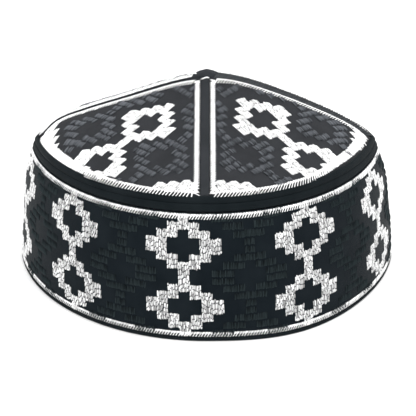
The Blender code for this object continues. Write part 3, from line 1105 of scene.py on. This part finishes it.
def make_knot():
    """The low gathered lump of cloth on the peak."""
    deselect_all()
    bpy.ops.mesh.primitive_uv_sphere_add(segments=48, ring_count=24, radius=1.0)
    piece = bpy.context.active_object
    ball_x, ball_y, ball_z = points_of(piece.data).T
    radius = np.hypot(ball_x, ball_y)
    angle = np.arctan2(ball_y, ball_x)
    # Seven broad gathers and eleven fine ones run round the knot, and five soft lumps over it.
    gathers = 1.0 + 0.06 * np.sin(7.0 * angle) + 0.03 * np.sin(11.0 * angle + 1.0)
    x = KNOT_HALF_WIDTH * ball_x * gathers
    y = KNOT_HALF_DEPTH * ball_y * gathers - KNOT_FORWARD
    ground = crown_height(x, y)
    fall = KNOT_SLOPE * (np.hypot(np.hypot(x, y), KNOT_BLUNT) - KNOT_BLUNT)
    cap = crown_height(np.array(0.0), np.array(1e-9)) + KNOT_RISE - fall
    lump = np.maximum(cap - ground, KNOT_THINNEST) * np.sqrt(np.maximum(1.0 - radius**2, 0.0))
    lump *= 1.0 + 0.15 * np.sin(5.0 * angle) * radius
    height = ground + np.where(ball_z >= 0.0, lump, -KNOT_FOOT * np.abs(ball_z)) - KNOT_SINK
    move_points(piece.data, np.stack([x, y, height], axis=-1))
    layer = piece.data.uv_layers[0]
    layer.name = "cloth"
    uv = np.empty(len(piece.data.loops) * 2)
    layer.data.foreach_get("uv", uv)
    layer.data.foreach_set("uv", (uv * KNOT_AROUND).astype(np.float32))
    bpy.ops.object.shade_smooth()
    return finish_piece(piece, "peak_knot_cloth", STRIP_CLOTH, "binding", ["peak_knot"])


def make_band_stitches():
    columns = range(-BAND_COLUMNS // 2, BAND_COLUMNS // 2, CHAIN_COLUMNS)
    half_columns, half_rows = CHAIN_COLUMNS // 2, CHAIN_ROWS // 2
    for name, off, first_row, material, slot, sewing in (
        ("band_white_stitches", half_columns, half_rows, WHITE_THREAD, "white_thread", WHITE_ON_BAND),
        ("band_black_stitches", 0, 0, BLACK_BAND_THREAD, "band_cloth", BLACK_ON_BAND),
    ):
        parts = []
        for column in columns:
            runs = chain_runs(column + off, first_row, (-CHAIN_ROWS, CHAIN_ROWS))
            parts.append(fill_runs(runs, sewing, column + off, BAND_DRIFTS.get(column + off, STILL)))
        piece = lay_stitches(name, band_chart, np.concatenate(parts, axis=1), sewing)
        finish_piece(piece, name, material, slot)


def make_panel_stitches(panel):
    place = panel_chart(panel)

    def skin(column, row, out):
        return crown_skin(*place(column, row), out)

    for colour, columns, first_row, material, slot, sewing, margin in (
        ("white", (-12, 0, 12), 0, PAINTED_LIT_WHITE_THREAD, "white_thread", WHITE_ON_CROWN, WHITE_MARGIN),
        ("black", (-18, -6, 6, 18), 4, BLACK_THREAD_PAINTED_SHEEN, "crown_cloth", BLACK_ON_CROWN, BLACK_MARGIN),
    ):
        # The white chain in the middle of a panel has open rings, and those beside it filled ones.
        parts = []
        for column in columns:
            rows = (MIDDLE_CHAIN_START if column == 0 else CHAIN_START, CHAIN_END)
            runs = chain_runs(column, first_row, rows, filled=colour == "white" and column != 0)
            parts.append(fill_runs(runs, sewing, column, panel.drifts.get(column, STILL)))
        if colour == "black":
            parts.append(fill_runs(chain_runs(0, PEAK_RING_ROW, PEAK_RING_ROWS), sewing, 0, STILL))
        threads = np.concatenate(parts, axis=1)
        x, y = place(threads[0], (threads[1] + threads[2]) / 2.0)
        threads = threads[:, inside_panel(panel, x, y, margin)]
        name = f"panel_{colour}_stitches_{panel.name}"
        finish_piece(lay_stitches(name, skin, threads, sewing), name, material, slot)


def lay_border(name, skin, border, slant, toothed, material, slot="white_thread"):
    """Slanted satin threads side by side along a path.

    skin(index, ahead, across, out) gives points from distances along and outwards from each thread.
    The border's sizes, slant (how a thread leans) and toothed (1 for outer teeth, -1 for inner ones,
    0 for both) hold one value for each thread.
    """
    count = len(slant)
    width, pitch, rise, teeth = (np.broadcast_to(value, count)[:, None] for value in border)
    rows, arch = columns_of(SATIN)[:2]
    side = toothed[:, None]
    towards_teeth = np.select([side > 0.0, side < 0.0], [rows, 1.0 - rows], np.abs(2.0 * rows - 1.0))
    narrow = SATIN_OVERLAP - teeth * np.clip((towards_teeth - TEETH_START) / TEETH_SPREAD, 0.0, 1.0)
    reach = (rows - 0.5)[None] * (1.0 + jitter(count, SATIN_LENGTH_PLAY)) * width
    across = reach + jitter(count, SATIN_ACROSS_PLAY) * width
    ahead = reach * slant[:, None] + jitter(count, SATIN_AHEAD_PLAY) * pitch
    height = rise * arch * varied(count, *SATIN_RISES)
    index = np.arange(count)[:, None]

    def place(aside, out):
        return skin(index, ahead + aside, across, out)

    tone = varied(count, *SATIN_TONES)[:, 0]
    piece = stitches_mesh(name, place, 0.5 * pitch * narrow, height, height * SATIN_SIDE, tone)
    return finish_piece(piece, name, material, slot)


def distance_along(points):
    """Distance from the first point along a path to each of its points."""
    return np.concatenate([[0.0], np.cumsum(np.linalg.norm(np.diff(points, axis=0), axis=1))])


def points_at(at, known, points):
    """Plan points on a path, at values between the known ones."""
    return np.stack([np.interp(at, known, column) for column in points.T], axis=-1)


def make_band_border(name, height):
    around = np.linspace(-0.5, 0.5, 2001)
    length = distance_along(rim_place(around, band_inset(np.array(height)), height))
    count = int(round(length[-1] / BAND_BORDER.pitch))
    turns = np.interp(np.arange(count) / count * length[-1], length, around)

    def skin(index, ahead, across, out):
        turn = wrap_turn(turns[index] + ahead / length[-1])
        level = height - across
        level = np.clip(level, HEM_HEIGHT + BORDER_CLEARANCE, BAND_HEIGHT + BORDER_CLEARANCE)
        return band_skin(turn, level, out)

    slant = np.full(count, -BORDER_LEAN)
    return lay_border(name, skin, BAND_BORDER, slant, np.ones(count), WHITE_THREAD)


def smoothed(loop, window):
    """The rows of a closed loop averaged over a window of neighbours on each side."""
    kernel = np.hanning(2 * window + 3)[1:-1]
    padded = np.concatenate([loop[-window:], loop, loop[:window]])
    kernel /= kernel.sum()
    return np.stack([np.convolve(column, kernel, mode="valid") for column in padded.T], axis=-1)


def panel_outline(panel):
    """The middle of the panel's border in plan, and the side each point is on.

    The sides are 0 along the middle strip, 1 along the rim and 2 along the flank. The corner at the
    flank turns widely and the others tightly.
    """
    inset = SIDE_BORDER.width / 2.0 - BORDER_OVERHANG
    rim_inset = RIM_BORDER.width / 2.0 - RIM_OVERHANG
    flank_inset = panel.ridge / 2.0 - BORDER_OVERHANG + panel.inset
    side_x, side_y = panel_sides(panel)
    edge = np.stack(edge_stretch(panel, 600), axis=-1)
    edge *= 1.0 - rim_inset / np.linalg.norm(edge, axis=1, keepdims=True)
    edge = edge[(edge[:, 0] > side_x + inset) & (edge[:, 1] > side_y + flank_inset)]
    tip = np.array([[side_x + inset, side_y + flank_inset]])
    middle_corner = np.array([[side_x + inset, edge[0, 1]]])
    flank_corner = np.array([[edge[-1, 0], side_y + flank_inset]])
    loop = np.concatenate([tip, middle_corner, edge, flank_corner, tip])
    length = distance_along(loop)
    at = np.arange(0.0, length[-1], OUTLINE_STEP)
    fine = points_at(at, length, loop)
    near_flank = np.exp(-(((at - length[-2]) / FLANK_REACH) ** 4))[:, None]
    outline = smoothed(fine, int(TIGHT_TURN / OUTLINE_STEP)) * (1.0 - near_flank)
    outline += smoothed(fine, int(panel.turn / OUTLINE_STEP)) * near_flank
    side = np.searchsorted([length[1], length[-2]], at)
    return outline * np.array([panel.side, panel.half]), side


def by_side(side, strip, rim, ridge):
    """One value for each point of a panel's border, by the side that it is on."""
    return np.select([side == 0, side == 1], [strip, rim], ridge)


def side_slants(side, ahead_of, outwards):
    """Leans of the threads on the straight sides, which point the same way on every panel."""
    wanted = np.where(side[:, None] == 0, [1.0, BORDER_LEAN], [BORDER_LEAN, 1.0])
    forth, back = (
        np.abs(np.sum((outwards + sign * BORDER_LEAN * ahead_of) * wanted, axis=1)) for sign in (1, -1)
    )
    return BORDER_LEAN * np.where(forth > back, 1.0, -1.0)


def rim_slants(panel, ahead_of, outwards, facing, corner):
    """Leans of the threads along the rim, which keep them parallel in plan."""
    lean = np.array([FRONT_RIM_LEAN * panel.half, panel.half])
    cross_out = outwards[:, 0] * lean[1] - outwards[:, 1] * lean[0]
    cross_ahead = ahead_of[:, 0] * lean[1] - ahead_of[:, 1] * lean[0]
    parallel = -cross_out / np.abs(cross_ahead) * np.sign(cross_ahead[corner])
    most = BORDER_LEAN + (MOST_LEAN - BORDER_LEAN) * facing
    return np.clip(parallel, -most, most)


def make_panel_border(panel):
    outline, side = panel_outline(panel)
    closed = np.concatenate([outline, outline[:1]])
    steps = np.linalg.norm(np.diff(crown_skin(*closed.T), axis=0), axis=1)
    ridge = RIDGE_BORDER._replace(width=panel.ridge)
    pitch = by_side(side, SIDE_BORDER.pitch, RIM_BORDER.pitch, ridge.pitch)
    laid = np.concatenate([[0.0], np.cumsum(steps / pitch)])
    count = int(laid[-1])
    at = np.interp(np.arange(count), laid, np.arange(len(closed)))
    path = points_at(at, np.arange(len(closed)), closed)
    side = side[np.minimum(at.astype(int), len(side) - 1)]
    ahead_of = np.roll(path, -1, axis=0) - np.roll(path, 1, axis=0)
    ahead_of /= np.linalg.norm(ahead_of, axis=1, keepdims=True)
    outwards = panel.side * panel.half * np.stack([-ahead_of[:, 1], ahead_of[:, 0]], axis=-1)
    along_rim = side == 1
    corner = np.argmax(along_rim)
    facing = np.clip((np.abs(outwards[:, 1]) - FLANK_FACING) / FACING_SPREAD, 0.0, 1.0)
    rim_slant = rim_slants(panel, ahead_of, outwards, facing, corner)
    slant = np.where(along_rim, rim_slant, side_slants(side, ahead_of, outwards))
    flank = (facing < 1.0) & (side > 0)
    slant = np.where(flank, smoothed(slant[:, None], LEAN_WINDOW)[:, 0], slant)
    drawn = smoothed(np.where(along_rim, (1.0 - facing) * panel.draw, 0.0)[:, None], DRAW_WINDOW)
    leans_away = panel.side == panel.half
    if leans_away:
        near = np.exp(-(((np.arange(count) - corner) / FAN_THREADS) ** 2))
        slant *= 1.0 - np.where(along_rim, RIM_FAN, SIDE_FAN) * near

    def skin(index, ahead, across, out):
        across = across - drawn
        x = path[index, 0] + ahead_of[index, 0] * ahead + outwards[index, 0] * across
        y = path[index, 1] + ahead_of[index, 1] * ahead + outwards[index, 1] * across
        past_rim = np.maximum(np.hypot(x, y) * (1.0 - 1.0 / share_of_edge(x, y)), 0.0)
        return crown_skin(x, y, out + RIM_LIFT * past_rim)

    border = Border(*(by_side(side, *sizes) for sizes in zip(SIDE_BORDER, RIM_BORDER, ridge)))
    border = border._replace(teeth=np.where(along_rim, border.teeth * facing, border.teeth))
    toothed = by_side(side, 0.0, 1.0, -1.0)
    return lay_border(f"panel_border_{panel.name}", skin, border, slant, toothed, PAINTED_LIT_WHITE_THREAD)


def make_right_strip_stitches():
    """The plain right strip is closed with black satin threads, a little in front of its middle."""
    seam = seam_at("x", 1)
    start, ends, forward = 5.5 * MM, 6.0 * MM, 0.7 * MM
    stop = float(strip_reach(seam, np.array(seam.shift)))
    count = int((stop - ends) / STRIP_BORDER.pitch)
    reach = np.linspace(start, stop - STRIP_BORDER.pitch, count)

    def skin(index, ahead, across, out):
        return crown_skin(reach[index] + ahead, seam.shift - forward + across, out)

    slant = np.full(count, BORDER_LEAN)
    lay_border(
        "right_strip_stitches", skin, STRIP_BORDER, slant, np.ones(count), STRIP_THREAD, "strip_cloth"
    )


def make_peak_stitch():
    """The loose white stitch across the top of the front strip, of two threads."""
    start_x, start_y = 1.2 * MM, -4.9 * MM
    length, forward = 4.3 * MM, 0.5 * MM
    rise, thickness = 0.35 * MM, 0.24 * MM
    apart = np.array([[0.0], [0.35]]) * MM
    lengths = np.array([[1.0], [0.8]])
    rows, arch, narrow = np.array(LOOSE_STITCH).T
    x = start_x - length * rows * lengths
    y = start_y - apart - forward * rows
    height = rise * arch * np.ones((2, 1))

    def place(aside, out):
        return crown_skin(x, y + aside, out)

    tone = np.array([0.9, 0.7])
    piece = stitches_mesh(
        "peak_white_stitch", place, thickness * narrow, height, height * LOOSE_SIDE, tone, bury=LOOSE_BURY
    )
    return finish_piece(piece, "peak_white_stitch", PAINTED_LIT_WHITE_THREAD, "white_thread")


# Stage, lights and camera.


def make_stage():
    deselect_all()
    bpy.ops.mesh.primitive_plane_add(size=8.0, location=(0.0, 0.0, 0.0))
    floor = bpy.context.active_object
    floor.name = "floor"
    material = bpy.data.materials.new("pale floor")
    material.use_nodes = True
    shader = material.node_tree.nodes["Principled BSDF"]
    shader.inputs["Base Color"].default_value = (0.9, 0.9, 0.9, 1.0)
    shader.inputs["Roughness"].default_value = 0.9
    floor.data.materials.append(material)
    world = bpy.data.worlds.new("studio")
    bpy.context.scene.world = world
    world.use_nodes = True
    background = world.node_tree.nodes["Background"]
    background.inputs["Color"].default_value = (1.0, 1.0, 1.0, 1.0)
    background.inputs["Strength"].default_value = 1.0


def add_light(name, location, energy, size):
    """An area light turned to the middle of the cap."""
    data = bpy.data.lights.new(name, "AREA")
    data.energy = energy
    data.size = size
    light = bpy.data.objects.new(name, data)
    bpy.context.scene.collection.objects.link(light)
    light.location = location
    aim = Vector((0.0, 0.0, 50.0 * MM))
    light.rotation_euler = (aim - light.location).to_track_quat("-Z", "Y").to_euler()


def make_camera():
    """The photograph's viewpoint."""
    elevation = radians(22.0)
    distance = 763.8 * MM
    aim_x, aim_z = 0.6 * MM, 26.165 * MM
    photo_pixels = 416.0
    focal_pixels = 1514.35
    data = bpy.data.cameras.new("camera")
    camera = bpy.data.objects.new("camera", data)
    bpy.context.scene.collection.objects.link(camera)
    data.sensor_width = 36.0
    data.lens = focal_pixels / photo_pixels * data.sensor_width
    camera.location = (aim_x, -distance * cos(elevation), aim_z + distance * sin(elevation))
    camera.rotation_euler = (pi / 2.0 - elevation, 0.0, 0.0)
    bpy.context.scene.camera = camera


bpy.context.scene.view_settings.view_transform = "Standard"
make_camera()
make_stage()
add_light("top softbox", location=(0.1, -0.1, 1.3), energy=14.0, size=0.9)
add_light("front softbox", location=(-0.5, -1.3, 0.7), energy=3.0, size=0.9)
make_band()
make_ring("band_roll_cloth", BAND_ROLL, "band_top_roll")
make_ring("crown_roll_cloth", CROWN_ROLL, "crown_edge_roll")
make_ring("hem_cloth", HEM_ROLL, "hem_binding")
for seam in SEAMS:
    make_strip_cloth(seam)
for panel in PANELS:
    make_panel_cloth(panel)
    make_panel_stitches(panel)
    make_panel_border(panel)
make_knot()
make_right_strip_stitches()
make_peak_stitch()
make_band_stitches()
for name, height in BAND_BORDER_HEIGHTS.items():
    make_band_border(name, height)
